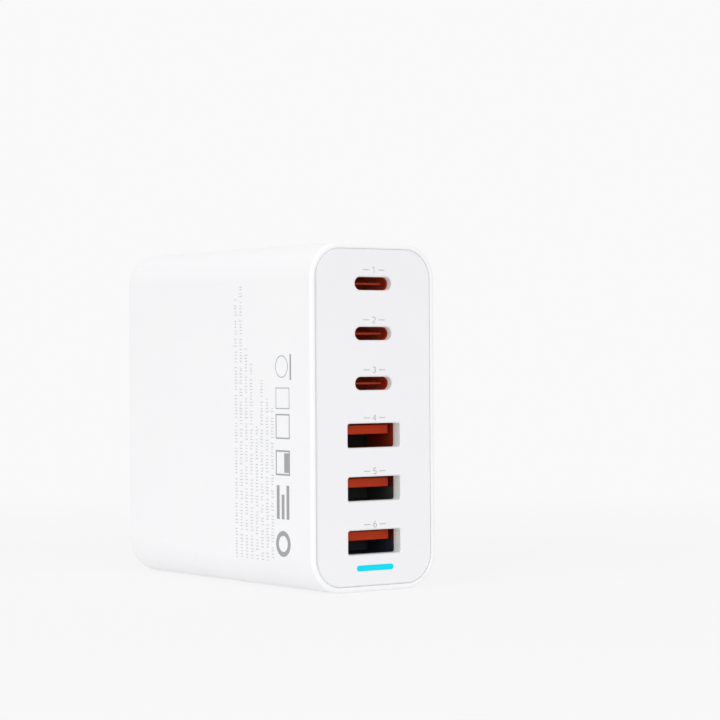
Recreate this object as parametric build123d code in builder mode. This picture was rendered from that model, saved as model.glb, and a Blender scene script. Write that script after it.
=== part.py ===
"""Six-port USB desktop charger, standing upright, with a figure-8 mains inlet in its back.

Millimetres. X is the width, -Y the front with the ports, +Z is up. The origin is the middle of the base.
"""

import os
from math import sqrt

from build123d import *

# Overall size, standing on its narrow base
width = 29.9
height = 68.0
depth = 70.0
corner_radius = 7.0

# Housing, one moulded cup that is closed at the back
wall = 2.0
rear_wall = 2.2
rear_edge_radius = 1.6
rim = 1.1
rim_edge_radius = 0.75
mouth_chamfer = 0.2
fit_gap = 0.1

# Front panel, seated in the mouth of the housing
panel_thickness = 2.4
panel_gap = 0.03
panel_edge_chamfer = 0.3
opening_chamfer = 0.25
skirt_thickness = 1.1
skirt_depth = 4.0
snap_width = 6.0
snap_length = 1.2
snap_reach = 0.5
snap_spacing = 34.0

# Port column, from the top of the housing down to the status light
first_port_drop = 7.9
led_rise = 4.65
led_drop = 5.0
kind_extra = 0.4
usb_a_extra = 0.65

# Port board, across the charger behind the receptacles
port_depth = 13.0
board_thickness = 1.6
board_gap = 0.4
slot_gap = 0.15

# Small receptacles with a flat oval mouth
usb_c_opening_width = 8.8
usb_c_opening_height = 2.62
usb_c_setback = 1.55
usb_c_mouth_width = 8.34
usb_c_mouth_height = 2.56
usb_c_sheet = 0.3
usb_c_tongue_width = 6.69
usb_c_tongue_thickness = 0.7
usb_c_tongue_setback = 0.85
usb_c_taper = 0.2
usb_c_taper_length = 0.9
usb_c_root_thickness = 1.5
usb_c_root_length = 0.9
usb_c_base_length = 5.25
usb_c_contact_width = 0.28
usb_c_contact_length = 3.2
usb_c_contact_depth = 0.08
usb_c_contact_places = (-2.75, -1.25, -0.75, -0.25, 0.25, 0.75, 1.25, 2.75)

# Large receptacles with a rectangular mouth
usb_a_opening_width = 12.6
usb_a_opening_height = 4.75
usb_a_opening_radius = 0.5
usb_a_mouth_width = 12.5
usb_a_mouth_height = 5.12
usb_a_sheet = 0.3
usb_a_corner_radius = 0.6
usb_a_tongue_width = 11.1
usb_a_tongue_thickness = 1.84
usb_a_tongue_drop = 0.55
usb_a_tongue_setback = 0.7
usb_a_tongue_chamfer = 0.15
usb_a_base_length = 1.8
usb_a_contact_width = 1.0
usb_a_contact_length = 6.4
usb_a_contact_depth = 0.25
usb_a_contact_places = (-3.5, -1.0, 1.0, 3.5)
spring_width = 1.8
spring_length = 5.2
spring_slit = 0.35
spring_spacing = 5.6
spring_setback = 2.2

# Solder legs of both kinds of receptacle
leg_width = 1.2
leg_length = 2.2

# Status light
led_bar_width = 8.9
led_bar_height = 1.18
guide_gap = 0.05
guide_flange = 0.8
guide_flange_length = 1.0
led_chip_width = 3.0
led_chip_height = 1.0
led_chip_length = 0.9

# Mains inlet, a figure-8 socket with two round pins
pin_pitch = 8.6
pin_radius = 1.18
pin_root_radius = 0.95
pin_tab_radius = 0.8
pin_tab_length = 2.5
pin_tip_chamfer = 0.5
pin_tip_depth = 4.6
lobe_radius = 4.35
waist_width = 4.3
waist_length = 1.1
shoulder_rise = 1.8
waist_round = 0.5
inlet_chamfer = 0.4
inlet_setback = 3.6
inlet_depth = 13.0
inlet_floor = 2.0
inlet_side = 1.4
inlet_corner_radius = 1.0
inlet_frame_wall = 1.2
inlet_frame_length = 5.0

# Mains leads from the inlet to the main board
lead_radius = 0.8
lead_bend = 3.4
lead_run = 4.6

# Main board, upright along the charger's right side, and its guide rails
main_board_margin = 4.5
main_board_tail_gap = 0.5
tab_width = 7.0
tab_spacing = 44.0
rail_thickness = 1.0
rail_overlap = 1.5
rail_start_gap = 0.6
part_gap = 0.5

# Transformer on the main board
core_length = 20.4
core_width = 14.0
core_height = 16.4
core_plate = 2.6
core_leg = 3.2
post_radius = 4.3
bobbin_wall = 0.7
bobbin_flange = 0.9
bobbin_foot = 1.2
bobbin_pin = 0.8
winding_radius = 6.4

# Capacitors, fuse, choke and rectifier of the mains side
bulk_radius = 5.0
bulk_height = 18.0
can_groove_depth = 0.4
can_groove_width = 1.0
can_groove_rise = 1.5
fuse_length = 8.4
fuse_width = 4.2
fuse_height = 7.6
bridge_length = 8.4
bridge_width = 6.6
bridge_height = 1.5
choke_inner_radius = 2.9
choke_outer_radius = 5.4
choke_height = 5.0
choke_wire = 0.9
choke_sweep = 140.0
x_capacitor_length = 13.0
x_capacitor_width = 6.5
x_capacitor_height = 11.0
x_capacitor_chamfer = 0.4
y_capacitor_radius = 3.2
y_capacitor_thickness = 3.6
y_capacitor_chamfer = 0.9
y_capacitor_lift = 1.2
leg_wire = 0.5
leg_wire_pitch = 4.0

# Parts of the low-voltage side
output_can_radius = 3.15
output_can_height = 9.0
output_can_pitch = 7.0
inductor_side = 6.4
inductor_height = 4.4
inductor_pitch = 7.2
inductor_chamfer = 0.5
port_chip_side = 4.0
port_chip_height = 0.9

# Cooling and insulation between the main board and the side walls
switch_side = 8.0
switch_height = 0.9
pad_side = 12.0
pad_thickness = 0.6
spreader_length = 40.0
spreader_height = 40.0
spreader_thickness = 0.6
spreader_corner = 2.2
chip_side = 5.0
chip_offset = 14.0
sheet_thickness = 0.3
sheet_margin = 2.0

# Planes and heights that several pieces share
front_y = -depth / 2
rear_y = depth / 2
panel_back_y = front_y + panel_thickness
port_board_y = front_y + port_depth
port_board_back_y = port_board_y + board_thickness
last_port_z = led_rise + led_drop
port_span = height - first_port_drop - last_port_z
usb_c_pitch = (port_span - kind_extra - 2 * usb_a_extra) / 5
usb_a_pitch = usb_c_pitch + usb_a_extra
usb_c_heights = [height - first_port_drop - place * usb_c_pitch for place in (0, 1, 2)]
usb_a_heights = [last_port_z + place * usb_a_pitch for place in (2, 1, 0)]
led_z = led_rise
middle_z = height / 2
inlet_mouth_y = rear_y - inlet_setback
inlet_floor_y = rear_y - inlet_depth
inlet_back_y = inlet_floor_y - inlet_floor
cavity_side_x = width / 2 - wall
spreader_x = cavity_side_x - spreader_thickness
main_board_right_x = spreader_x - pad_thickness - switch_height
main_board_x = main_board_right_x - board_thickness
main_board_end_y = rear_y - rear_wall - main_board_tail_gap
main_board_mid_y = (port_board_back_y + main_board_end_y) / 2
board_half_height = height / 2 - main_board_margin

# Room for parts on the main board: between the rails, behind the port board and before the board's end
low_z = main_board_margin + rail_overlap + part_gap
high_z = height - low_z
first_y = port_board_back_y + port_chip_height + part_gap
last_y = main_board_end_y - part_gap


def front_view(y):
    """Plane at depth y seen from the front: x runs along +X, y along +Z, and it faces -Y."""
    return Plane.XZ.offset(-y)


def board_view(x):
    """Plane at x seen from the right: x runs along +Y, y along +Z, and it faces +X."""
    return Plane.YZ.offset(x)


def body_outline(inset, mode=Mode.ADD):
    """The charger's rounded cross-section, drawn in from the outer skin by inset."""
    with Locations((0, middle_z)):
        RectangleRounded(width - 2 * inset, height - 2 * inset, corner_radius - inset, mode=mode)


def wall_middle_height(x):
    """Height above the middle of the charger at which the wall's mid-surface passes over x."""
    flat = width / 2 - corner_radius
    across = max(abs(x) - flat, 0.0)
    return height / 2 - corner_radius + sqrt((corner_radius - wall / 2) ** 2 - across**2)


def write(piece, name):
    """Labels a finished piece and writes it to its own file."""
    piece.part.label = name
    export_step(piece.part, f"parts/{name}.step")


os.makedirs("parts", exist_ok=True)

# Outline of the inlet's opening: two round lobes with straight flanks that slant in to a narrow waist
half_pitch = pin_pitch / 2
half_waist = waist_width / 2
half_waist_length = waist_length / 2
with BuildSketch() as inlet_opening:
    with BuildLine():
        Polyline(
            (lobe_radius, half_pitch),
            (lobe_radius, shoulder_rise),
            (half_waist, half_waist_length),
            (half_waist, -half_waist_length),
            (lobe_radius, -shoulder_rise),
            (lobe_radius, -half_pitch),
        )
        RadiusArc((lobe_radius, -half_pitch), (-lobe_radius, -half_pitch), lobe_radius)
        Polyline(
            (-lobe_radius, -half_pitch),
            (-lobe_radius, -shoulder_rise),
            (-half_waist, -half_waist_length),
            (-half_waist, half_waist_length),
            (-lobe_radius, shoulder_rise),
            (-lobe_radius, half_pitch),
        )
        RadiusArc((-lobe_radius, half_pitch), (lobe_radius, half_pitch), lobe_radius)
    make_face()
    fillet(inlet_opening.vertices().filter_by_position(Axis.Y, -shoulder_rise, shoulder_rise), waist_round)

# Housing: a deep cup with a rebate for the panel, snap pockets, board rails and the inlet's frame
snap_y = panel_back_y + skirt_depth - snap_length
snap_heights = (middle_z - snap_spacing / 2, middle_z + snap_spacing / 2)
inlet_width = 2 * (lobe_radius + inlet_side)
inlet_length = pin_pitch + 2 * (lobe_radius + inlet_side)
frame_y = inlet_mouth_y - inlet_frame_length
rail_y = port_board_back_y + rail_start_gap
rail_end_y = rear_y - rear_wall
with BuildPart() as housing:
    with BuildSketch(front_view(rear_y)):
        body_outline(0)
    extrude(amount=depth)
    fillet(housing.faces().sort_by(Axis.Y)[-1].edges(), rear_edge_radius)
    fillet(housing.faces().sort_by(Axis.Y)[0].edges(), rim_edge_radius)
    with BuildSketch(front_view(front_y)):
        body_outline(wall)
    extrude(amount=rear_wall - depth, mode=Mode.SUBTRACT)
    with BuildSketch(front_view(front_y)):
        body_outline(rim)
    extrude(amount=-panel_thickness, mode=Mode.SUBTRACT)
    chamfer(housing.faces().sort_by(Axis.Y)[0].inner_wires().edges(), mouth_chamfer)
    with Locations(*[(side * cavity_side_x, snap_y, z) for side in (-1, 1) for z in snap_heights]):
        Box(
            2 * (snap_reach + fit_gap),
            snap_length + 4 * fit_gap,
            snap_width + 4 * fit_gap,
            mode=Mode.SUBTRACT,
        )
    for rail_x in (
        main_board_x - fit_gap - rail_thickness / 2,
        main_board_right_x + fit_gap + rail_thickness / 2,
    ):
        rail_tip = board_half_height - rail_overlap
        rail_height = wall_middle_height(rail_x) - rail_tip
        with Locations(
            *[
                (rail_x, (rail_y + rail_end_y) / 2, middle_z + up * (rail_tip + rail_height / 2))
                for up in (-1, 1)
            ]
        ):
            Box(rail_thickness, rail_end_y - rail_y, rail_height)
    with BuildSketch(front_view(frame_y)):
        with Locations((0, middle_z)):
            RectangleRounded(
                inlet_width + 2 * (fit_gap + inlet_frame_wall),
                inlet_length + 2 * (fit_gap + inlet_frame_wall),
                inlet_corner_radius + inlet_frame_wall,
            )
    extrude(amount=frame_y - rear_y + rear_wall)
    with BuildSketch(front_view(frame_y)):
        with Locations((0, middle_z)):
            RectangleRounded(inlet_width + 2 * fit_gap, inlet_length + 2 * fit_gap, inlet_corner_radius)
    extrude(amount=-inlet_frame_length, mode=Mode.SUBTRACT)
    with BuildSketch(front_view(inlet_mouth_y)):
        with Locations((0, middle_z)):
            add(inlet_opening.sketch)
    extrude(amount=-inlet_setback, mode=Mode.SUBTRACT)
    chamfer(housing.faces().sort_by(Axis.Y)[-1].inner_wires().edges(), inlet_chamfer)
write(housing, "housing")

# Front panel: a plate on the rebate, with the port openings and a skirt that snaps into the side walls
with BuildPart() as front_panel:
    with BuildSketch(front_view(front_y)):
        body_outline(rim + panel_gap)
    extrude(amount=-panel_thickness)
    chamfer(front_panel.faces().sort_by(Axis.Y)[0].edges(), panel_edge_chamfer)
    with BuildSketch(front_view(panel_back_y)):
        body_outline(wall + fit_gap)
        body_outline(wall + fit_gap + skirt_thickness, mode=Mode.SUBTRACT)
    extrude(amount=-skirt_depth)
    snap_x = cavity_side_x - fit_gap
    with Locations(*[(side * snap_x, snap_y, z) for side in (-1, 1) for z in snap_heights]):
        Box(2 * snap_reach, snap_length, snap_width)
    with BuildSketch(front_view(front_y)):
        with Locations(*[(0, z) for z in usb_c_heights]):
            SlotOverall(usb_c_opening_width, usb_c_opening_height)
        with Locations(*[(0, z) for z in usb_a_heights]):
            RectangleRounded(usb_a_opening_width, usb_a_opening_height, usb_a_opening_radius)
        with Locations((0, led_z)):
            SlotOverall(led_bar_width, led_bar_height)
    extrude(amount=-panel_thickness, mode=Mode.SUBTRACT)
    opening_edges = front_panel.faces().sort_by(Axis.Y)[0].inner_wires().edges()
    chamfer(opening_edges.filter_by_position(Axis.Z, led_z + led_bar_height, height), opening_chamfer)
    with BuildSketch(front_view(panel_back_y)):
        with Locations(*[(0, z) for z in usb_c_heights]):
            SlotOverall(
                usb_c_mouth_width + 2 * (usb_c_sheet + fit_gap),
                usb_c_mouth_height + 2 * (usb_c_sheet + fit_gap),
            )
    extrude(amount=panel_thickness - usb_c_setback, mode=Mode.SUBTRACT)
write(front_panel, "front_panel")

# Light guide: a clear bar through the panel's slot, stopped by a flange behind it
led_face_y = port_board_y - led_chip_length
with BuildPart() as light_guide:
    with BuildSketch(front_view(front_y)):
        with Locations((0, led_z)):
            SlotOverall(led_bar_width - 2 * guide_gap, led_bar_height - 2 * guide_gap)
    extrude(amount=front_y - led_face_y)
    with BuildSketch(front_view(panel_back_y)):
        with Locations((0, led_z)):
            SlotOverall(led_bar_width + 2 * guide_flange, led_bar_height + 2 * guide_flange)
    extrude(amount=-guide_flange_length)
write(light_guide, "light_guide")

# Status light: a chip on the port board that feeds the guide
with BuildPart() as status_led:
    with BuildSketch(front_view(port_board_y)):
        with Locations((0, led_z)):
            Rectangle(led_chip_width, led_chip_height)
    extrude(amount=led_chip_length)
write(status_led, "status_led")

# Small receptacles: a folded oval shell, a moulded tongue with its base, and contacts on both faces
usb_c_front_y = front_y + usb_c_setback
usb_c_tongue_y = usb_c_front_y + usb_c_tongue_setback
usb_c_shell_width = usb_c_mouth_width + 2 * usb_c_sheet
usb_c_shell_height = usb_c_mouth_height + 2 * usb_c_sheet
usb_c_leg_x = usb_c_shell_width / 2 - usb_c_sheet / 2
usb_c_contact_mid_y = usb_c_tongue_y + usb_c_taper_length + fit_gap + usb_c_contact_length / 2
usb_c_contact_z = usb_c_tongue_thickness / 2 - usb_c_contact_depth / 2
for number, z in enumerate(usb_c_heights, 1):
    with BuildPart() as usb_c_shell:
        with BuildSketch(front_view(usb_c_front_y)):
            with Locations((0, z)):
                SlotOverall(usb_c_shell_width, usb_c_shell_height)
                SlotOverall(usb_c_mouth_width, usb_c_mouth_height, mode=Mode.SUBTRACT)
        extrude(amount=usb_c_front_y - port_board_y)
        with Locations((-usb_c_leg_x, port_board_y, z), (usb_c_leg_x, port_board_y, z)):
            Box(usb_c_sheet, 2 * leg_length, leg_width)
    write(usb_c_shell, f"usb_c_shell_{number}")

    usb_c_contact_spots = [
        (x, usb_c_contact_mid_y, z + face * usb_c_contact_z)
        for x in usb_c_contact_places
        for face in (-1, 1)
    ]
    with BuildPart() as usb_c_tongue:
        with BuildSketch(front_view(port_board_y)):
            with Locations((0, z)):
                SlotOverall(usb_c_mouth_width - 2 * guide_gap, usb_c_mouth_height - 2 * guide_gap)
        extrude(amount=usb_c_base_length)
        with Locations(*[(side * usb_c_leg_x, port_board_y - leg_length / 2, z) for side in (-1, 1)]):
            Box(
                usb_c_sheet + 2 * guide_gap,
                leg_length + 2 * guide_gap,
                leg_width + 2 * guide_gap,
                mode=Mode.SUBTRACT,
            )
        with BuildSketch(front_view(port_board_y - usb_c_base_length)):
            with Locations((0, z)):
                Rectangle(usb_c_tongue_width, usb_c_root_thickness)
        extrude(amount=usb_c_root_length)
        with BuildSketch(front_view(port_board_y - usb_c_base_length)):
            with Locations((0, z)):
                Rectangle(usb_c_tongue_width, usb_c_tongue_thickness)
        extrude(amount=port_board_y - usb_c_base_length - usb_c_tongue_y)
        tip = usb_c_tongue.faces().sort_by(Axis.Y)[0]
        chamfer(tip.edges().filter_by(Axis.X), usb_c_taper, usb_c_taper_length, reference=tip)
        with Locations(*usb_c_contact_spots):
            Box(usb_c_contact_width, usb_c_contact_length, usb_c_contact_depth, mode=Mode.SUBTRACT)
    write(usb_c_tongue, f"usb_c_tongue_{number}")

    with BuildPart() as usb_c_contacts:
        with Locations(*usb_c_contact_spots):
            Box(usb_c_contact_width, usb_c_contact_length, usb_c_contact_depth)
    write(usb_c_contacts, f"usb_c_contacts_{number}")

# Large receptacles: a folded box shell with spring fingers, a moulded tongue high in the mouth, four contacts
usb_a_front_y = panel_back_y
usb_a_tongue_y = usb_a_front_y + usb_a_tongue_setback
usb_a_shell_width = usb_a_mouth_width + 2 * usb_a_sheet
usb_a_shell_height = usb_a_mouth_height + 2 * usb_a_sheet
usb_a_leg_x = usb_a_shell_width / 2 - usb_a_sheet / 2
spring_y = usb_a_front_y + spring_setback
for number, z in enumerate(usb_a_heights, 1):
    with BuildPart() as usb_a_shell:
        with BuildSketch(front_view(usb_a_front_y)):
            with Locations((0, z)):
                RectangleRounded(usb_a_shell_width, usb_a_shell_height, usb_a_corner_radius)
                RectangleRounded(
                    usb_a_mouth_width,
                    usb_a_mouth_height,
                    usb_a_corner_radius - usb_a_sheet,
                    mode=Mode.SUBTRACT,
                )
        extrude(amount=usb_a_front_y - port_board_y)
        with BuildSketch(Plane.XY.offset(z - usb_a_shell_height)):
            for side in (-1, 1):
                with Locations((side * spring_spacing / 2, spring_y + spring_length / 2)):
                    Rectangle(spring_width + 2 * spring_slit, spring_length)
                with Locations((side * spring_spacing / 2, spring_y + spring_length / 2 + spring_slit)):
                    Rectangle(spring_width, spring_length, mode=Mode.SUBTRACT)
        extrude(amount=2 * usb_a_shell_height, mode=Mode.SUBTRACT)
        with Locations((-usb_a_leg_x, port_board_y, z), (usb_a_leg_x, port_board_y, z)):
            Box(usb_a_sheet, 2 * leg_length, leg_width)
    write(usb_a_shell, f"usb_a_shell_{number}")

    usb_a_tongue_z = z + usb_a_mouth_height / 2 - usb_a_tongue_drop - usb_a_tongue_thickness / 2
    usb_a_contact_mid_y = usb_a_tongue_y + usb_a_sheet + usb_a_contact_length / 2
    usb_a_contact_z = usb_a_tongue_z - usb_a_tongue_thickness / 2 + usb_a_contact_depth / 2
    usb_a_contact_spots = [(x, usb_a_contact_mid_y, usb_a_contact_z) for x in usb_a_contact_places]
    with BuildPart() as usb_a_tongue:
        with BuildSketch(front_view(port_board_y)):
            with Locations((0, z)):
                RectangleRounded(
                    usb_a_mouth_width - 2 * guide_gap,
                    usb_a_mouth_height - 2 * guide_gap,
                    usb_a_corner_radius - usb_a_sheet,
                )
        extrude(amount=usb_a_base_length)
        with BuildSketch(front_view(port_board_y - usb_a_base_length)):
            with Locations((0, usb_a_tongue_z)):
                Rectangle(usb_a_tongue_width, usb_a_tongue_thickness)
        extrude(amount=port_board_y - usb_a_base_length - usb_a_tongue_y)
        chamfer(usb_a_tongue.faces().sort_by(Axis.Y)[0].edges(), usb_a_tongue_chamfer)
        with Locations(*usb_a_contact_spots):
            Box(usb_a_contact_width, usb_a_contact_length, usb_a_contact_depth, mode=Mode.SUBTRACT)
    write(usb_a_tongue, f"usb_a_tongue_{number}")

    with BuildPart() as usb_a_contacts:
        with Locations(*usb_a_contact_spots):
            Box(usb_a_contact_width, usb_a_contact_length, usb_a_contact_depth)
    write(usb_a_contacts, f"usb_a_contacts_{number}")

# Port board: stands across the charger, slotted for the receptacles' legs and the main board's tabs
tab_heights = (middle_z - tab_spacing / 2, middle_z + tab_spacing / 2)
with BuildPart() as port_board:
    with BuildSketch(front_view(port_board_y)):
        body_outline(wall + board_gap)
        with Locations(*[(side * usb_c_leg_x, z) for side in (-1, 1) for z in usb_c_heights]):
            Rectangle(usb_c_sheet + 2 * slot_gap, leg_width + 2 * slot_gap, mode=Mode.SUBTRACT)
        with Locations(*[(side * usb_a_leg_x, z) for side in (-1, 1) for z in usb_a_heights]):
            Rectangle(usb_a_sheet + 2 * slot_gap, leg_width + 2 * slot_gap, mode=Mode.SUBTRACT)
        with Locations(*[(main_board_x + board_thickness / 2, z) for z in tab_heights]):
            Rectangle(board_thickness + 2 * slot_gap, tab_width + 2 * slot_gap, mode=Mode.SUBTRACT)
    extrude(amount=-board_thickness)
write(port_board, "port_board")

# Port controllers: one flat chip on the back of the port board behind each port
with BuildPart() as port_controllers:
    with BuildSketch(front_view(port_board_back_y)):
        with Locations(*[(0, z) for z in usb_c_heights + usb_a_heights]):
            Rectangle(port_chip_side, port_chip_side)
    extrude(amount=-port_chip_height)
write(port_controllers, "port_controllers")

# Main board: runs from the port board to the back, its edges held between the housing's rails
with BuildPart() as main_board:
    with BuildSketch(board_view(main_board_x)):
        with Locations((main_board_mid_y, middle_z)):
            Rectangle(main_board_end_y - port_board_back_y, 2 * board_half_height)
        with Locations(*[(port_board_y + board_thickness / 2, z) for z in tab_heights]):
            Rectangle(board_thickness, tab_width)
    extrude(amount=board_thickness)
write(main_board, "main_board")

# Mains inlet: a block in the housing's frame, with the figure-8 well and holes for the pins in its floor
pin_heights = (middle_z + half_pitch, middle_z - half_pitch)
with BuildPart() as inlet_body:
    with BuildSketch(front_view(inlet_mouth_y)):
        with Locations((0, middle_z)):
            RectangleRounded(inlet_width, inlet_length, inlet_corner_radius)
    extrude(amount=inlet_mouth_y - inlet_back_y)
    with BuildSketch(front_view(inlet_mouth_y)):
        with Locations((0, middle_z)):
            add(inlet_opening.sketch)
    extrude(amount=inlet_mouth_y - inlet_floor_y, mode=Mode.SUBTRACT)
    with BuildSketch(front_view(inlet_floor_y)):
        with Locations(*[(0, z) for z in pin_heights]):
            Circle(pin_root_radius + guide_gap)
    extrude(amount=inlet_floor, mode=Mode.SUBTRACT)
write(inlet_body, "inlet_body")

# Inlet pins and the leads that run from their tabs to the main board
pin_tip_y = rear_y - pin_tip_depth
pin_tab_y = inlet_back_y - pin_tab_length
lead_y = pin_tab_y - lead_run
for pole, z in zip(("live", "neutral"), pin_heights):
    with BuildPart() as inlet_pin:
        with BuildSketch(front_view(pin_tip_y)):
            with Locations((0, z)):
                Circle(pin_radius)
        extrude(amount=pin_tip_y - inlet_floor_y)
        chamfer(inlet_pin.faces().sort_by(Axis.Y)[-1].edges(), pin_tip_chamfer)
        with BuildSketch(front_view(inlet_floor_y)):
            with Locations((0, z)):
                Circle(pin_root_radius)
        extrude(amount=inlet_floor)
        with BuildSketch(front_view(inlet_back_y)):
            with Locations((0, z)):
                Circle(pin_tab_radius)
        extrude(amount=pin_tab_length)
    write(inlet_pin, f"{pole}_pin")

    with BuildPart() as mains_lead:
        with BuildLine() as lead_path:
            FilletPolyline((0, pin_tab_y, z), (0, lead_y, z), (main_board_x, lead_y, z), radius=lead_bend)
        with BuildSketch(front_view(pin_tab_y)):
            with Locations((0, z)):
                Circle(lead_radius)
        sweep(path=lead_path.line)
    write(mains_lead, f"{pole}_lead")

# Transformer: two ferrite halves round a bobbin that stands on the main board
transformer_reach = core_width / 2 + bobbin_foot
transformer_y = first_y + transformer_reach
transformer_spot = (transformer_y, middle_z)
core_base_x = main_board_x - bobbin_foot
window_x = core_base_x - core_plate
window_height = core_height - 2 * core_plate
with BuildPart() as transformer_core:
    with BuildSketch(board_view(core_base_x)):
        with Locations(transformer_spot):
            Rectangle(core_width, core_length)
    extrude(amount=-core_height)
    with BuildSketch(board_view(window_x)):
        with Locations(transformer_spot):
            Rectangle(core_width, core_length - 2 * core_leg)
            Circle(post_radius, mode=Mode.SUBTRACT)
    extrude(amount=-window_height, mode=Mode.SUBTRACT)
write(transformer_core, "transformer_core")

bobbin_radius = post_radius + guide_gap + bobbin_wall
flange_length = core_length - 2 * core_leg - 2 * fit_gap
bobbin_pin_spots = [
    (transformer_y + side * (core_width + bobbin_foot) / 2, middle_z + place * flange_length / 4)
    for side in (-1, 1)
    for place in (-1, 0, 1)
]
with BuildPart() as transformer_bobbin:
    with BuildSketch(board_view(window_x)):
        with Locations(transformer_spot):
            Circle(bobbin_radius)
    extrude(amount=-window_height)
    with BuildSketch(board_view(window_x)):
        with Locations(transformer_spot):
            Rectangle(2 * transformer_reach, flange_length)
    extrude(amount=-bobbin_flange)
    with BuildSketch(board_view(window_x - window_height)):
        with Locations(transformer_spot):
            Rectangle(core_width, flange_length)
    extrude(amount=bobbin_flange)
    with BuildSketch(board_view(main_board_x)):
        with Locations(*bobbin_pin_spots):
            Rectangle(bobbin_pin, bobbin_pin)
    extrude(amount=-(bobbin_foot + core_plate))
    with BuildSketch(board_view(core_base_x)):
        with Locations(transformer_spot):
            Circle(post_radius + guide_gap)
    extrude(amount=-core_height, mode=Mode.SUBTRACT)
write(transformer_bobbin, "transformer_bobbin")

with BuildPart() as transformer_winding:
    with BuildSketch(board_view(window_x - bobbin_flange)):
        with Locations(transformer_spot):
            Circle(winding_radius)
            Circle(bobbin_radius, mode=Mode.SUBTRACT)
    extrude(amount=-(window_height - 2 * bobbin_flange))
write(transformer_winding, "transformer_winding")

# Bulk capacitors: cans standing behind the transformer, each with a crimped groove near its foot
bulk_y = transformer_y + transformer_reach + part_gap + bulk_radius
bulk_heights = (low_z + bulk_radius, low_z + 3 * bulk_radius + part_gap, high_z - bulk_radius)
for number, z in enumerate(bulk_heights, 1):
    with BuildPart() as bulk_capacitor:
        with BuildSketch(board_view(main_board_x)):
            with Locations((bulk_y, z)):
                Circle(bulk_radius)
        extrude(amount=-bulk_height)
        with BuildSketch(board_view(main_board_x - can_groove_rise)):
            with Locations((bulk_y, z)):
                Circle(bulk_radius)
                Circle(bulk_radius - can_groove_depth, mode=Mode.SUBTRACT)
        extrude(amount=-can_groove_width, mode=Mode.SUBTRACT)
    write(bulk_capacitor, f"bulk_capacitor_{number}")

# Mains fuse: a small moulded block below the upper can
fuse_z = high_z - 2 * bulk_radius - part_gap - fuse_width / 2
with BuildPart() as mains_fuse:
    with BuildSketch(board_view(main_board_x)):
        with Locations((bulk_y, fuse_z)):
            Rectangle(fuse_length, fuse_width)
    extrude(amount=-fuse_height)
write(mains_fuse, "mains_fuse")

# Bridge rectifier: a flat chip between the cans
with BuildPart() as bridge_rectifier:
    with BuildSketch(board_view(main_board_x)):
        with Locations((bulk_y, middle_z)):
            Rectangle(bridge_length, bridge_width)
    extrude(amount=-bridge_height)
write(bridge_rectifier, "bridge_rectifier")

# Choke: a ferrite ring with two windings, lying on the board's upper rear corner
choke_reach = choke_outer_radius + choke_wire
choke_middle_x = main_board_x - choke_wire - choke_height / 2
choke_middle = (choke_middle_x, last_y - choke_reach, high_z - choke_reach)
choke_plane = Plane(origin=choke_middle, x_dir=(0, 1, 0), z_dir=(1, 0, 0))
with BuildPart() as choke_core:
    with BuildSketch(choke_plane):
        Circle(choke_outer_radius)
        Circle(choke_inner_radius, mode=Mode.SUBTRACT)
    extrude(amount=choke_height / 2, both=True)
write(choke_core, "choke_core")

choke_axis = Axis(choke_plane.origin, choke_plane.z_dir)
choke_mid_radius = (choke_inner_radius + choke_outer_radius) / 2
choke_band = choke_outer_radius - choke_inner_radius
with BuildPart() as choke_winding:
    for start in (-choke_sweep / 2, 180 - choke_sweep / 2):
        radial = choke_plane.x_dir.rotate(choke_axis, start)
        with BuildSketch(Plane(choke_middle, x_dir=radial, z_dir=radial.cross(choke_plane.z_dir))):
            with Locations((choke_mid_radius, 0)):
                Rectangle(choke_band + 2 * choke_wire, choke_height + 2 * choke_wire)
                Rectangle(choke_band, choke_height, mode=Mode.SUBTRACT)
        revolve(axis=choke_axis, revolution_arc=choke_sweep)
write(choke_winding, "choke_winding")

# X capacitor: a moulded box in the board's lower rear corner
x_capacitor_y = last_y - x_capacitor_length / 2
x_capacitor_z = low_z + x_capacitor_width / 2
with BuildPart() as x_capacitor:
    with BuildSketch(board_view(main_board_x)):
        with Locations((x_capacitor_y, x_capacitor_z)):
            Rectangle(x_capacitor_length, x_capacitor_width)
    extrude(amount=-x_capacitor_height)
    chamfer(x_capacitor.faces().sort_by(Axis.X)[0].edges(), x_capacitor_chamfer)
write(x_capacitor, "x_capacitor")

# Y capacitor: a coated disc on two wire legs, above the front end of the X capacitor
y_capacitor_x = main_board_x - y_capacitor_lift - y_capacitor_radius
y_capacitor_y = last_y - x_capacitor_length + y_capacitor_thickness / 2
y_capacitor_z = low_z + x_capacitor_width + part_gap + y_capacitor_radius
with BuildPart() as y_capacitor:
    with BuildSketch(front_view(y_capacitor_y)):
        with Locations((y_capacitor_x, y_capacitor_z)):
            Circle(y_capacitor_radius)
    extrude(amount=y_capacitor_thickness / 2, both=True)
    chamfer(y_capacitor.edges().filter_by(GeomType.CIRCLE), y_capacitor_chamfer)
    with BuildSketch(board_view(main_board_x)):
        with Locations((y_capacitor_y, y_capacitor_z)):
            with GridLocations(leg_wire_pitch, leg_wire_pitch, 1, 2):
                Rectangle(leg_wire, leg_wire)
    extrude(amount=-(y_capacitor_lift + y_capacitor_radius))
write(y_capacitor, "y_capacitor")

# Output capacitors: four small cans at the top, behind the port board
output_can_reach = output_can_pitch / 2 + output_can_radius
with BuildPart() as output_capacitors:
    with BuildSketch(board_view(main_board_x)):
        with Locations((first_y + output_can_reach, high_z - output_can_reach)):
            with GridLocations(output_can_pitch, output_can_pitch, 2, 2):
                Circle(output_can_radius)
    extrude(amount=-output_can_height)
write(output_capacitors, "output_capacitors")

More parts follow.
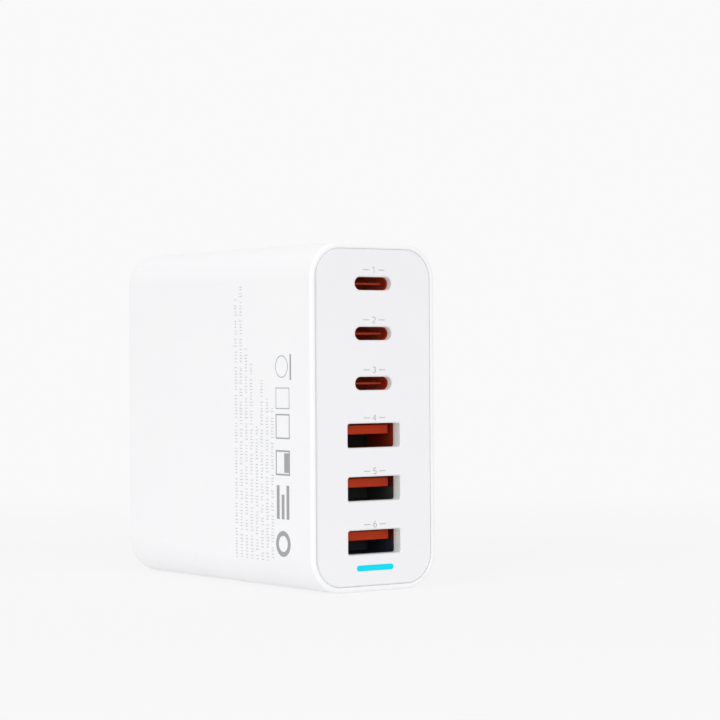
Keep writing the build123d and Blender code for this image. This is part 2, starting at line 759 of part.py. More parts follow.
# Buck inductors: four square moulded coils at the bottom, behind the port board
inductor_reach = inductor_pitch / 2 + inductor_side / 2
with BuildPart() as buck_inductors:
    with BuildSketch(board_view(main_board_x)):
        with Locations((first_y + inductor_reach, low_z + inductor_reach)):
            with GridLocations(inductor_pitch, inductor_pitch, 2, 2):
                Rectangle(inductor_side, inductor_side)
    extrude(amount=-inductor_height)
    chamfer(buck_inductors.edges().filter_by(Axis.X), inductor_chamfer)
write(buck_inductors, "buck_inductors")

# Power switch on the right of the main board, and the pad and plate that carry its heat to the wall
board_middle = (main_board_mid_y, middle_z)
with BuildPart() as power_switch:
    with BuildSketch(board_view(main_board_right_x)):
        with Locations(board_middle):
            Rectangle(switch_side, switch_side)
    extrude(amount=switch_height)
write(power_switch, "power_switch")

with BuildPart() as thermal_pad:
    with BuildSketch(board_view(spreader_x)):
        with Locations(board_middle):
            Rectangle(pad_side, pad_side)
    extrude(amount=-pad_thickness)
write(thermal_pad, "thermal_pad")

with BuildPart() as heat_spreader:
    with BuildSketch(board_view(spreader_x)):
        with Locations(board_middle):
            RectangleRounded(spreader_length, spreader_height, spreader_corner)
    extrude(amount=spreader_thickness)
write(heat_spreader, "heat_spreader")

# Controller chips on the right of the main board, clear of the pad
with BuildPart() as controller_chips:
    with BuildSketch(board_view(main_board_right_x)):
        with Locations(board_middle):
            with GridLocations(2 * chip_offset, 2 * chip_offset, 2, 2):
                Rectangle(chip_side, chip_side)
    extrude(amount=switch_height)
write(controller_chips, "controller_chips")

# Insulation sheet on the flat of the left wall
with BuildPart() as insulation_sheet:
    with BuildSketch(board_view(-cavity_side_x)):
        with Locations(board_middle):
            Rectangle(
                main_board_end_y - port_board_back_y - 2 * sheet_margin,
                height - 2 * (corner_radius + sheet_margin),
            )
    extrude(amount=sheet_thickness)
write(insulation_sheet, "insulation_sheet")
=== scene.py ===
"""The looks of an upright white desktop charger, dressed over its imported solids.

Metres, in the part's own frame: +Z up, -Y out of the front panel, the origin at the middle of the base.
"""

import math

import bpy
import numpy as np
from mathutils import Matrix, Vector


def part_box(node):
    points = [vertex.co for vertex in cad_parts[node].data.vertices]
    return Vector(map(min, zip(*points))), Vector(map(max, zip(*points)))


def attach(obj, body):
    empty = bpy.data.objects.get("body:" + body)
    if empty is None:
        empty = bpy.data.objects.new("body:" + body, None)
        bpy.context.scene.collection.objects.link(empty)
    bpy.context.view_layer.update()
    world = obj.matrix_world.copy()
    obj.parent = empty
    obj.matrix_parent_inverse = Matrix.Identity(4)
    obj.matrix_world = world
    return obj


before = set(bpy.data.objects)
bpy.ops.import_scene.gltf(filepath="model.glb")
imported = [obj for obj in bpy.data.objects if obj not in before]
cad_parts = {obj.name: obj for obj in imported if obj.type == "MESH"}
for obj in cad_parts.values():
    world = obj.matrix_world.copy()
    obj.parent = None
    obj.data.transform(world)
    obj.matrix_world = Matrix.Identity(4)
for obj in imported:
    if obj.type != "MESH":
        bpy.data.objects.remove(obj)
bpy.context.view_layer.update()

# Housing: one deep cup of white polycarbonate-ABS, injection moulded in a spark-eroded tool.
# The tool's fine texture leaves an even satin skin that scatters highlights and hides flow marks.
# Its pits are about 0.1 mm apart; they are drawn over three times as coarse, so that they show.
MM = 0.001
HOUSING_WHITES = ("F9F9FA", "F6F6F8")
HOUSING_GRAIN = 0.35 * MM
HOUSING_CLOUD = 18.0 * MM
GRAIN_DEPTH = 0.02 * MM
GRAIN_RELIEF = 0.35
GRAIN_SHEEN = 0.05


def linear(hex_colour):
    """An sRGB hex colour as linear red, green, blue and alpha."""
    srgb = np.array([int(hex_colour[i : i + 2], 16) for i in (0, 2, 4)]) / 255.0
    low, high = srgb / 12.92, ((srgb + 0.055) / 1.055) ** 2.4
    return (*np.where(srgb <= 0.04045, low, high).tolist(), 1.0)


def add_node(tree, kind, settings, links=None):
    """Adds a node to a tree. Settings name its sockets or attributes, links its sockets and their sources."""
    node = tree.nodes.new(kind)
    for key, value in settings.items():
        if isinstance(key, int) or key in node.inputs:
            node.inputs[key].default_value = value
        else:
            setattr(node, key, value)
    for key, source in (links or {}).items():
        tree.links.new(source, node.inputs[key])
    return node


def bare_finish(name):
    """A new material with no shader yet, its tree, and the place on the part that its patterns follow."""
    material = bpy.data.materials.new(name)
    material.use_nodes = True
    tree = material.node_tree
    tree.nodes.clear()
    place = add_node(tree, "ShaderNodeTexCoord", {}).outputs["Object"]
    return material, tree, place


def moulded_plastic(name, colour, shade, roughness, grain, cloud, ior=1.57, gloss=0.5):
    """A moulded plastic: soft clouds between two near colours, and a tool grain as bump and roughness."""
    material, tree, place = bare_finish(name)
    clouds = add_node(tree, "ShaderNodeTexNoise", {"Scale": 1 / cloud, "Detail": 3.0}, {"Vector": place})
    tint = add_node(
        tree,
        "ShaderNodeMix",
        {"data_type": "RGBA", 6: linear(colour), 7: linear(shade)},
        {0: clouds.outputs["Fac"]},
    )
    pits = add_node(tree, "ShaderNodeTexNoise", {"Scale": 1 / grain, "Detail": 2.0}, {"Vector": place})
    sheen = add_node(
        tree,
        "ShaderNodeMapRange",
        {"To Min": roughness - GRAIN_SHEEN, "To Max": roughness + GRAIN_SHEEN},
        {"Value": pits.outputs["Fac"]},
    )
    relief = add_node(
        tree,
        "ShaderNodeBump",
        {"Strength": GRAIN_RELIEF, "Distance": GRAIN_DEPTH},
        {"Height": pits.outputs["Fac"]},
    )
    skin = add_node(
        tree,
        "ShaderNodeBsdfPrincipled",
        {"IOR": ior, "Specular IOR Level": gloss},
        {
            "Base Color": tint.outputs[2],
            "Roughness": sheen.outputs["Result"],
            "Normal": relief.outputs["Normal"],
        },
    )
    add_node(tree, "ShaderNodeOutputMaterial", {}, {"Surface": skin.outputs["BSDF"]})
    return material


def dress(material, *nodes):
    """Puts one material on CAD nodes that keep their own shape."""
    for node in nodes:
        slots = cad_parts[node].data.materials
        slots.clear()
        slots.append(material)


satin_white = moulded_plastic(
    "satin_white_pc_abs", *HOUSING_WHITES, roughness=0.48, grain=HOUSING_GRAIN, cloud=HOUSING_CLOUD
)
dress(satin_white, "housing")

# Mains inlet: a block of glass-filled grey nylon behind the figure-8 opening, with two round brass pins.
# The nylon is matt and mottled by its glass; the pins are turned and nickel plated, so they mirror the room.
INLET_GREYS = ("B0B0B2", "A4A4A6")
INLET_GRAIN = 0.25 * MM
INLET_MOTTLE = 2.0 * MM
PIN_NICKEL = "D9D7D2"
PIN_TURNING = 0.12 * MM
ROUND_THE_PIN = (0.1, 1.0, 0.1)
SCRATCH_DEPTH = 0.004 * MM
STREAK_RELIEF = 0.2
STREAK_SHINE = 0.06
STREAK_HAZE = 0.08

matt_nylon = moulded_plastic(
    "matt_glass_filled_nylon", *INLET_GREYS, roughness=0.55, grain=INLET_GRAIN, cloud=INLET_MOTTLE
)
dress(matt_nylon, "inlet_body")


def plated_metal(name, colour, roughness, ring, stretch, scratch=SCRATCH_DEPTH, metallic=1.0, gloss=0.5):
    """A plated metal: streaks drawn out along one axis by stretch, in the roughness and as a faint bump."""
    material, tree, place = bare_finish(name)
    drawn = add_node(tree, "ShaderNodeMapping", {"Scale": stretch}, {"Vector": place})
    streaks = add_node(
        tree, "ShaderNodeTexNoise", {"Scale": 1 / ring, "Detail": 3.0}, {"Vector": drawn.outputs["Vector"]}
    )
    sheen = add_node(
        tree,
        "ShaderNodeMapRange",
        {"To Min": roughness - STREAK_SHINE, "To Max": roughness + STREAK_HAZE},
        {"Value": streaks.outputs["Fac"]},
    )
    relief = add_node(
        tree,
        "ShaderNodeBump",
        {"Strength": STREAK_RELIEF, "Distance": scratch},
        {"Height": streaks.outputs["Fac"]},
    )
    skin = add_node(
        tree,
        "ShaderNodeBsdfPrincipled",
        {"Base Color": linear(colour), "Metallic": metallic, "Specular IOR Level": gloss},
        {"Roughness": sheen.outputs["Result"], "Normal": relief.outputs["Normal"]},
    )
    add_node(tree, "ShaderNodeOutputMaterial", {}, {"Surface": skin.outputs["BSDF"]})
    return material


nickel = plated_metal(
    "nickel_plated_brass", PIN_NICKEL, roughness=0.2, ring=PIN_TURNING, stretch=ROUND_THE_PIN
)
dress(nickel, "live_pin", "neutral_pin")

# Mains leads: stranded copper in soft PVC sleeves, brown for live and blue for neutral.
# Extruded PVC has a faint waxy gloss and a slight ripple along the wire.
SLEEVE_COLOURS = {"live": ("6B3A1E", "5E3119"), "neutral": ("2F5C9E", "284F8A")}
SLEEVE_RIPPLE = 0.6 * MM
SLEEVE_CLOUD = 3.0 * MM
for pole, colours in SLEEVE_COLOURS.items():
    pvc = moulded_plastic(
        f"{pole}_pvc_sleeve", *colours, roughness=0.38, grain=SLEEVE_RIPPLE, cloud=SLEEVE_CLOUD, ior=1.53
    )
    dress(pvc, f"{pole}_lead")

# Boards: glass-epoxy laminate under green solder mask, with copper tracks that show as raised, lighter lanes.
# The mask is a thin glossy lacquer, so the boards are the shiniest large faces inside.
MASK_GREEN = "1F5A33"
TRACK_GREEN = "2F7546"
TRACK_PITCH = 1.27 * MM
TRACK_GAP = 0.12
TRACK_LENGTH = 9.0
TRACK_HEIGHT = 0.035 * MM
TRACK_RELIEF = 0.6
QUARTER_TURN = math.radians(90)


def masked_board(name, across):
    """A solder-masked board: tracks as rows of bricks in the board's plane, lifted by the copper's height."""
    material, tree, place = bare_finish(name)
    flat = add_node(tree, "ShaderNodeMapping", {"Rotation": across}, {"Vector": place})
    tracks = add_node(
        tree,
        "ShaderNodeTexBrick",
        {
            "Color1": (1, 1, 1, 1),
            "Color2": (0.6, 0.6, 0.6, 1),
            "Mortar": (0, 0, 0, 1),
            "Scale": 1 / TRACK_PITCH,
            "Mortar Size": TRACK_GAP,
            "Brick Width": TRACK_LENGTH,
            "Row Height": 1.0,
        },
        {"Vector": flat.outputs["Vector"]},
    )
    tint = add_node(
        tree,
        "ShaderNodeMix",
        {"data_type": "RGBA", 6: linear(MASK_GREEN), 7: linear(TRACK_GREEN)},
        {0: tracks.outputs["Color"]},
    )
    relief = add_node(
        tree,
        "ShaderNodeBump",
        {"Strength": TRACK_RELIEF, "Distance": TRACK_HEIGHT},
        {"Height": tracks.outputs["Color"]},
    )
    skin = add_node(
        tree,
        "ShaderNodeBsdfPrincipled",
        {"IOR": 1.55, "Roughness": 0.28, "Coat Weight": 0.3},
        {"Base Color": tint.outputs[2], "Normal": relief.outputs["Normal"]},
    )
    add_node(tree, "ShaderNodeOutputMaterial", {}, {"Surface": skin.outputs["BSDF"]})
    return material


dress(masked_board("solder_mask_upright", (0.0, QUARTER_TURN, 0.0)), "main_board")
dress(masked_board("solder_mask_across", (QUARTER_TURN, 0.0, 0.0)), "port_board")

# Power parts on the main board: ferrite cores, a taped transformer, sleeved cans and moulded blocks.
# Each shows what it is made of: fired ferrite is dull and sandy, shrunk sleeves and epoxy dips shine.
# A row gives two near colours, the roughness, the grain and the clouds in millimetres, and the IOR.
POWER_PARTS = {
    "fired_ferrite": ("2B2B2D", "343437", 0.62, 0.2, 4.0, 2.3),
    "phenolic_bobbin": ("17171A", "1E1E21", 0.5, 0.2, 3.0, 1.57),
    "polyester_tape": ("E2C33A", "D4B02C", 0.3, 0.8, 5.0, 1.57),
    "pet_can_sleeve": ("23252B", "2B2E36", 0.3, 0.5, 6.0, 1.57),
    "flame_retardant_box": ("1B1B1B", "222222", 0.45, 0.2, 3.0, 1.57),
    "yellow_pbt_box": ("D8AE26", "CDA11C", 0.4, 0.25, 4.0, 1.57),
    "blue_epoxy_dip": ("2A5FA8", "235398", 0.28, 0.5, 2.0, 1.57),
    "epoxy_chip_package": ("141415", "1B1B1C", 0.5, 0.12, 2.0, 1.57),
}
POWER_PART_NODES = {
    "fired_ferrite": ("transformer_core", "choke_core", "buck_inductors"),
    "phenolic_bobbin": ("transformer_bobbin",),
    "polyester_tape": ("transformer_winding",),
    "pet_can_sleeve": ("bulk_capacitor_1", "bulk_capacitor_2", "bulk_capacitor_3"),
    "flame_retardant_box": ("mains_fuse",),
    "yellow_pbt_box": ("x_capacitor",),
    "blue_epoxy_dip": ("y_capacitor",),
    "epoxy_chip_package": ("bridge_rectifier", "power_switch", "controller_chips", "port_controllers"),
}
for finish, (colour, shade, roughness, grain, cloud, ior) in POWER_PARTS.items():
    skin = moulded_plastic(finish, colour, shade, roughness, grain * MM, cloud * MM, ior)
    dress(skin, *POWER_PART_NODES[finish])

# Windings and cans of bare metal: enamelled copper wire on the choke, drawn aluminium cans at the output.
# The turns of wire show as ridges half a millimetre apart, the draw lines of the cans as fine streaks.
WIRE_COPPER = "B5652F"
WIRE_PITCH = 0.5 * MM
WIRE_RIDGE = 0.05 * MM
ALONG_WIRE = (0.15, 1.0, 1.0)
CAN_ALUMINIUM = "C9CBCF"
CAN_DRAW_LINE = 0.3 * MM
ALONG_CAN = (0.05, 1.0, 1.0)
copper_turns = plated_metal(
    "enamelled_copper_wire",
    WIRE_COPPER,
    roughness=0.3,
    ring=WIRE_PITCH,
    stretch=ALONG_WIRE,
    scratch=WIRE_RIDGE,
)
dress(copper_turns, "choke_winding")
drawn_can = plated_metal(
    "drawn_aluminium_can", CAN_ALUMINIUM, roughness=0.3, ring=CAN_DRAW_LINE, stretch=ALONG_CAN
)
dress(drawn_can, "output_capacitors")

# Cooling and insulation: an aluminium plate glued to the right wall, a silicone pad, a film on the left wall.
# Rolled sheet has long straight mill lines; the pad is chalky and the film faintly glossy.
PLATE_ALUMINIUM = "CDCFD2"
MILL_LINE = 0.2 * MM
ALONG_PLATE = (1.0, 0.03, 1.0)
PAD_BLUES = ("8E97AE", "858EA6")
PAD_GRAIN = 0.3 * MM
PAD_CLOUD = 2.0 * MM
FILM_CREAMS = ("E6E0C8", "DED7BC")
FILM_RIPPLE = 1.0 * MM
FILM_CLOUD = 9.0 * MM
rolled_plate = plated_metal(
    "rolled_aluminium_plate", PLATE_ALUMINIUM, roughness=0.35, ring=MILL_LINE, stretch=ALONG_PLATE
)
dress(rolled_plate, "heat_spreader")
gap_pad = moulded_plastic(
    "silicone_gap_pad", *PAD_BLUES, roughness=0.7, grain=PAD_GRAIN, cloud=PAD_CLOUD, ior=1.43
)
dress(gap_pad, "thermal_pad")
cream_film = moulded_plastic(
    "polyester_film", *FILM_CREAMS, roughness=0.25, grain=FILM_RIPPLE, cloud=FILM_CLOUD
)
dress(cream_film, "insulation_sheet")

# Receptacles: folded sheet-metal shells with gilt contacts, one behind each opening of the panel.
# A copper-red finish lines them, painted lighter from the mouth inwards: a painted lift against the shade
# deep inside.
# Below its blade each large one has a coating of its own, red in the first and black in the other two.
# Each pair gives the red at the mouth, then the painted lift deeper in, against the socket's shade.
SMALL_COPPER = ("AA3320", "FA8A70")
LARGE_COPPER = {1: ("9E311C", "D44A2C"), 2: ("6C1F12", "8E2E1E"), 3: ("6C1F12", "8E2E1E")}
BELOW_BLADE = {1: "98321F", 2: "464848", 3: "343A44"}
SHELL_ROLLING = 0.15 * MM
ALONG_SHELL = (1.0, 0.05, 1.0)
LIFT_START = 1.0 * MM
LIFT_END = 6.0 * MM
COATING_EDGE = 0.05 * MM
CONTACT_GOLD = "D8AE5A"
CONTACT_ROLLING = 0.1 * MM
PORTS = (1, 2, 3)


def tone_over(material, measure, start, end, beyond, socket="Base Color"):
    """Blends a material's colour into a second one while a measure goes from start to end."""
    tree = material.node_tree
    share = add_node(tree, "ShaderNodeMapRange", {"From Min": start, "From Max": end}, {"Value": measure})
    mix = add_node(
        tree, "ShaderNodeMix", {"data_type": "RGBA", 7: linear(beyond)}, {0: share.outputs["Result"]}
    )
    colour = tree.nodes["Principled BSDF"].inputs[socket]
    mix.inputs[6].default_value = colour.default_value
    for link in colour.links:
        tree.links.new(link.from_socket, mix.inputs[6])
    tree.links.new(mix.outputs[2], colour)
    return material


def tone_along(material, axis, start, end, beyond, socket="Base Color"):
    """Blends a material's colour into a second one between two places on an axis of the part."""
    place = add_node(material.node_tree, "ShaderNodeTexCoord", {}).outputs["Object"]
    along = add_node(material.node_tree, "ShaderNodeSeparateXYZ", {}, {"Vector": place})
    return tone_over(material, along.outputs[axis], start, end, beyond, socket)


def copper_lining(name, kind, mouth_red, lifted_red):
    """The red finish of a shell, painted lighter from the mouth inwards as a lift against the shade deep
    inside.
    """
    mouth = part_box(f"usb_{kind}_shell_1")[0].y
    lining = plated_metal(
        name, mouth_red, roughness=0.5, ring=SHELL_ROLLING, stretch=ALONG_SHELL, metallic=0.0, gloss=0.1
    )
    # Painted light: the red turns lighter from the mouth inwards, lifting the shade deep in the socket.
    return tone_along(lining, "Y", mouth + LIFT_START, mouth + LIFT_END, lifted_red)


red_oxide = copper_lining("copper_red_oxide", "c", *SMALL_COPPER)
dress(red_oxide, *[f"usb_c_shell_{number}" for number in PORTS])
for number in PORTS:
    blade_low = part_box(f"usb_a_contacts_{number}")[0].z
    coated = copper_lining(f"coated_copper_red_oxide_{number}", "a", *LARGE_COPPER[number])
    tone_along(coated, "Z", blade_low, blade_low - COATING_EDGE, BELOW_BLADE[number])
    dress(coated, f"usb_a_shell_{number}")
gold_flash = plated_metal(
    "gold_flash_contact", CONTACT_GOLD, roughness=0.25, ring=CONTACT_ROLLING, stretch=ALONG_SHELL
)
dress(gold_flash, *[f"usb_{kind}_contacts_{number}" for kind in "ac" for number in PORTS])

# Tongues: orange high-temperature nylon, matt from its glass fill; each carries the contacts of one socket.
# The small ones are a shade browner. On the large ones the base behind the blade, which closes the shell, is
# painted near black: painted shade for the deep back of the socket.
SMALL_ORANGES = ("B23E1D", "A5371A")
LARGE_ORANGES = ("BE380B", "B0300A")
TONGUE_GRAIN = 0.2 * MM
TONGUE_CLOUD = 2.0 * MM
TONGUE_SKIN = {"roughness": 0.6, "grain": TONGUE_GRAIN, "cloud": TONGUE_CLOUD, "gloss": 0.15}
BACK_SHADE_DARKS = {1: "272826", 2: "3B3C3A", 3: "363D48"}
BASE_LENGTH = 1.85 * MM
SHADE_BLEND = 0.02 * MM
one_shot = moulded_plastic("orange_nylon", *SMALL_ORANGES, **TONGUE_SKIN)
dress(one_shot, *[f"usb_c_tongue_{number}" for number in PORTS])
for number in PORTS:
    base_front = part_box(f"usb_a_tongue_{number}")[1].y - BASE_LENGTH
    shaded_back_tongue = moulded_plastic(f"orange_nylon_shaded_back_{number}", *LARGE_ORANGES, **TONGUE_SKIN)
    # Painted shade: the tongue's base at the back of the socket turns near black.
    tone_along(shaded_back_tongue, "Y", base_front - SHADE_BLEND, base_front, BACK_SHADE_DARKS[number])
    dress(shaded_back_tongue, f"usb_a_tongue_{number}")

# Status light: a chip with a phosphor dome behind a bar of diffusing acrylic that ends flush with the panel.
# The bar is filled with light, so its front is one even cyan with no hot spot; further in it does not glow.
LIGHT_CYANS = ("03DDF5", "08D7F2")
LIGHT_HAZE = 4.0 * MM
LIT_DEPTH = 0.25 * MM
LIT_BODY = "0A1416"
UNLIT_BODY = "C9D6D8"
NO_GLOW = "000000"
PHOSPHOR_YELLOWS = ("EFE9BE", "E6DFAE")
PHOSPHOR_GRAIN = 0.1 * MM
PHOSPHOR_CLOUD = 0.8 * MM


def lit_acrylic(name, colour, edge):
    """Diffusing acrylic lit from behind: it glows in one colour that varies a little along the bar."""
    material, tree, place = bare_finish(name)
    haze = add_node(tree, "ShaderNodeTexNoise", {"Scale": 1 / LIGHT_HAZE, "Detail": 1.0}, {"Vector": place})
    tint = add_node(
        tree,
        "ShaderNodeMix",
        {"data_type": "RGBA", 6: linear(colour), 7: linear(edge)},
        {0: haze.outputs["Fac"]},
    )
    skin = add_node(
        tree,
        "ShaderNodeBsdfPrincipled",
        {
            "Base Color": linear(LIT_BODY),
            "IOR": 1.49,
            "Roughness": 0.6,
            "Specular IOR Level": 0.1,
            "Emission Strength": 1.0,
        },
        {"Emission Color": tint.outputs[2]},
    )
    add_node(tree, "ShaderNodeOutputMaterial", {}, {"Surface": skin.outputs["BSDF"]})
    return material


light_bar = lit_acrylic("lit_diffusing_acrylic", *LIGHT_CYANS)
bar_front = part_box("light_guide")[0].y
dimming = (bar_front + LIT_DEPTH, bar_front + 2 * LIT_DEPTH)
tone_along(light_bar, "Y", *dimming, UNLIT_BODY)
tone_along(light_bar, "Y", *dimming, NO_GLOW, "Emission Color")
dress(light_bar, "light_guide")
phosphor = moulded_plastic(
    "phosphor_silicone",
    *PHOSPHOR_YELLOWS,
    roughness=0.35,
    grain=PHOSPHOR_GRAIN,
    cloud=PHOSPHOR_CLOUD,
    ior=1.43,
)
dress(phosphor, "status_led")

# Front panel: a white polycarbonate-ABS moulding, snapped into the housing's mouth and a little glossier.
# Its white is a shade greyer than the housing's: painted shade, so that the front reads darker than the side.
# Its bevelled edge and the mouth's own bevel make the thin grey line of the joint. A painted grey darkens
# that line as painted shade, widest on the left and a little at the foot. Behind the front the panel is
# painted whiter and faintly
# green: a painted lift on the openings' walls against their shade and the red light from the sockets.
PANEL_SHADED_WHITES = ("F3F3F5", "F0F0F3")
PANEL_GRAIN = 0.25 * MM
PANEL_CLOUD = 15.0 * MM
PANEL_CORNER = 5.87 * MM
CORE_DEPTH = 1.0
OPENING_LIFT_WHITE = "F8FFFE"
OPENING_LIFT_DEPTH = (0.3 * MM, 1.0 * MM)
JOINT_SHADE_GREY = "E0E0E3"
JOINT_SHADE_EDGE = (0.42 * MM, 0.16 * MM)
JOINT_SHADE_SHIFT_LOW = Vector((0.0, 0.0, -0.22)) * MM
JOINT_SHADE_SHIFT_HIGH = Vector((0.45, 0.0, 0.4)) * MM


def out_from_core(material, low, high, corner):
    """How far a point lies outside the core of a round-cornered front: its box less the corners' radius.

    That is the length of the offset from the middle, without its sign, less the core's half sizes and not
    below zero. The core is deeper than the part, so only the place across the front counts.
    """
    tree = material.node_tree
    core = (high - low) / 2 - Vector((corner, 0.0, corner))
    core.y = CORE_DEPTH
    offset = add_node(tree, "ShaderNodeTexCoord", {}).outputs["Object"]
    for step in (
        {"operation": "SUBTRACT", 1: (low + high) / 2},
        {"operation": "ABSOLUTE"},
        {"operation": "SUBTRACT", 1: core},
        {"operation": "MAXIMUM", 1: (0.0, 0.0, 0.0)},
    ):
        offset = add_node(tree, "ShaderNodeVectorMath", step, {0: offset}).outputs["Vector"]
    return add_node(tree, "ShaderNodeVectorMath", {"operation": "LENGTH"}, {0: offset}).outputs["Value"]


# Painted shade: the panel's white is set a shade greyer than the housing's.
fine_white = moulded_plastic(
    "fine_satin_white_pc_abs", *PANEL_SHADED_WHITES, roughness=0.4, grain=PANEL_GRAIN, cloud=PANEL_CLOUD
)
panel_low, panel_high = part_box("front_panel")
front_y = panel_low.y
# Painted light: deeper than 0.3 mm the panel turns whiter and faintly green, lifting the openings' shaded
# walls.
tone_along(fine_white, "Y", *(front_y + depth for depth in OPENING_LIFT_DEPTH), OPENING_LIFT_WHITE)
# Painted shade: a grey darkens the joint's bevel, its border shifted so it runs widest on the left and at the
# foot.
to_border = out_from_core(fine_white, panel_low + JOINT_SHADE_SHIFT_LOW, panel_high + JOINT_SHADE_SHIFT_HIGH, PANEL_CORNER)
tone_over(fine_white, to_border, *(PANEL_CORNER - edge for edge in JOINT_SHADE_EDGE), JOINT_SHADE_GREY)
dress(fine_white, "front_panel")

# Port numbers: pad-printed grey figures over the sockets, each between two hairlines, a film of ink thick.
# A figure is a stroke carried along a path of straight runs and arcs, drawn in a box one high.
# A stroke that crosses another lies a little higher, as wet ink does, so that no two faces share a plane.
INK_FILM = 0.02 * MM
INK_RISE = 0.1
INK_GRAIN = 0.2 * MM
INK_CLOUD = 1.0 * MM
INK_SKIN = {"roughness": 0.5, "grain": INK_GRAIN, "cloud": INK_CLOUD}
FIGURE_GREYS = ("BFC0C3", "B8B9BC")
FIGURE_HEIGHT = 1.15 * MM
FIGURE_STROKE = 0.17 * MM
HAIRLINE_START = 1.1 * MM
HAIRLINE_END = 2.6 * MM
RISE_OVER_PORT = {"c": 2.65 * MM, "a": 3.45 * MM}
MITRE_LIMIT = 1.45


def arc(centre, radius, start, end, points=17):
    """Points on a circular arc from start to end, in degrees."""
    turn = np.radians(np.linspace(start, end, points))
    return np.array(centre) + radius * np.stack([np.cos(turn), np.sin(turn)], axis=1)


def run(*corners):
    """The corners of a straight-sided path."""
    return np.array(corners, dtype=float)


def ink_stroke(path, width, film=INK_FILM):
    """A printed stroke: the path offset to both sides by half its width, and lifted by the ink's film.

    At a corner the offset lies along the sum of the two runs' normals, longer by the mitre of their angle.
    The grid has one row for each point and four corners in a row: left and right below, right and left above.
    A path that ends where it starts becomes a closed ring; any other gets a face at each end.
    """
    ring = np.allclose(path[0], path[-1])
    rows = len(path) - int(ring)
    ahead = np.diff(path, axis=0)
    ahead /= np.linalg.norm(ahead, axis=1, keepdims=True)
    side = np.stack([-ahead[:, 1], ahead[:, 0]], axis=1)
    first, last = (side[-1:], side[:1]) if ring else (side[:1], side[-1:])
    before, after = np.vstack([first, side]), np.vstack([side, last])
    middle = before + after
    middle /= np.linalg.norm(middle, axis=1, keepdims=True)
    mitre = 1 / np.maximum((middle * after).sum(axis=1, keepdims=True), 1 / MITRE_LIMIT)
    reach = middle * mitre * width / 2
    grid = np.zeros((rows, 4, 3))
    grid[:, [0, 3], :2] = (path + reach)[:rows, None]
    grid[:, [1, 2], :2] = (path - reach)[:rows, None]
    grid[:, 2:, 2] = film
    row, corner = np.meshgrid(np.arange(len(path) - 1), np.arange(4), indexing="ij")
    here, there = row * 4, (row + 1) % rows * 4
    turn = (corner + 1) % 4
    faces = np.stack([here + corner, there + corner, there + turn, here + turn], axis=-1).reshape(-1, 4)
    if not ring:
        ends = np.array([[0, 1, 2, 3], [3, 2, 1, 0]]) + np.array([[0], [rows * 4 - 4]])
        faces = np.concatenate([faces, ends])
    return grid.reshape(-1, 3), faces


def join(meshes):
    """Several point and face arrays as one."""
    offsets = np.cumsum([0] + [len(points) for points, _ in meshes[:-1]])
    points = np.concatenate([points for points, _ in meshes])
    faces = np.concatenate([faces + offset for (_, faces), offset in zip(meshes, offsets)])
    return points, faces


def add_print(name, points, faces, ink, slot):
    """Makes a mesh from arrays in the part's frame, and lets it ride on the part."""
    mesh = bpy.data.meshes.new(name)
    mesh.from_pydata(points.tolist(), [], faces.tolist())
    mesh.update()
    mesh.materials.append(ink)
    piece = bpy.data.objects.new(name, mesh)
    bpy.context.scene.collection.objects.link(piece)
    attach(piece, "root")


FIGURES = (
    [run((-0.22, 0.36), (0.06, 0.5), (0.06, -0.5))],
    [np.concatenate([arc((0, 0.22), 0.28, 165, -35), run((-0.3, -0.5), (0.32, -0.5))])],
    [arc((0, 0.24), 0.26, 150, -90), arc((0, -0.22), 0.28, 90, -150)],
    [run((0.16, -0.5), (0.16, 0.5)), run((0.16, 0.5), (-0.34, -0.2), (0.36, -0.2))],
    [np.concatenate([run((0.28, 0.5), (-0.22, 0.5), (-0.26, 0.04)), arc((0, -0.19), 0.31, 130, -145)])],
    [arc((0, -0.2), 0.3, 0, 360, points=33), arc((0.42, -0.12), 0.72, 184, 118)],
)
figure_strokes = []
port_order = [(kind, number) for kind in "ca" for number in PORTS]
for (kind, number), figure in zip(port_order, FIGURES):
    low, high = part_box(f"usb_{kind}_shell_{number}")
    middle = np.array([0.0, (low.z + high.z) / 2 + RISE_OVER_PORT[kind]])
    for layer, path in enumerate(figure):
        film = INK_FILM * (1 + INK_RISE * layer)
        figure_strokes.append(ink_stroke(path * FIGURE_HEIGHT + middle, FIGURE_STROKE, film))
    for side in (-1, 1):
        hairline = run((side * HAIRLINE_START, 0), (side * HAIRLINE_END, 0))
        figure_strokes.append(ink_stroke(hairline + middle, FIGURE_STROKE))
flat, figure_faces = join(figure_strokes)
figure_points = np.stack([flat[:, 0], front_y - flat[:, 2], flat[:, 1]], axis=1)
figure_ink = moulded_plastic("grey_pad_print_ink", *FIGURE_GREYS, **INK_SKIN)
add_print("port_numbers", figure_points, figure_faces, figure_ink, "panel_plastic")

# Side rows: fine grey print on the left wall, pad printed, with nothing to read.
# They run upwards; each is a line of short strokes in uneven groups, as any small print looks from afar.
ROW_GREYS = ("CDCED0", "C6C7CA")
ROW_FIRST = 26.65 * MM
ROW_PITCH = 1.87 * MM
ROW_TOPS = np.array([58.0, 61.0, 48.4, 45.0, 33.3, 41.8, 38.2, 36.3]) * MM
ROW_BOTTOM = 5.8 * MM
ROW_SEED = 7
SIGN_PITCH = 0.62 * MM
SIGN_STROKE = 0.14 * MM
SIGN_HALF = (0.3 * MM, 0.52 * MM)
SIGN_BAR = 0.34 * MM
SIGN_STRAY = 0.12 * MM
BAR_SHARE = 0.6
BAR_REACH = 0.8
GAP_EVERY = (4, 11)
CORNER_RADIUS = 7.0 * MM

wall_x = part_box("housing")[0].x
chance = np.random.default_rng(ROW_SEED)


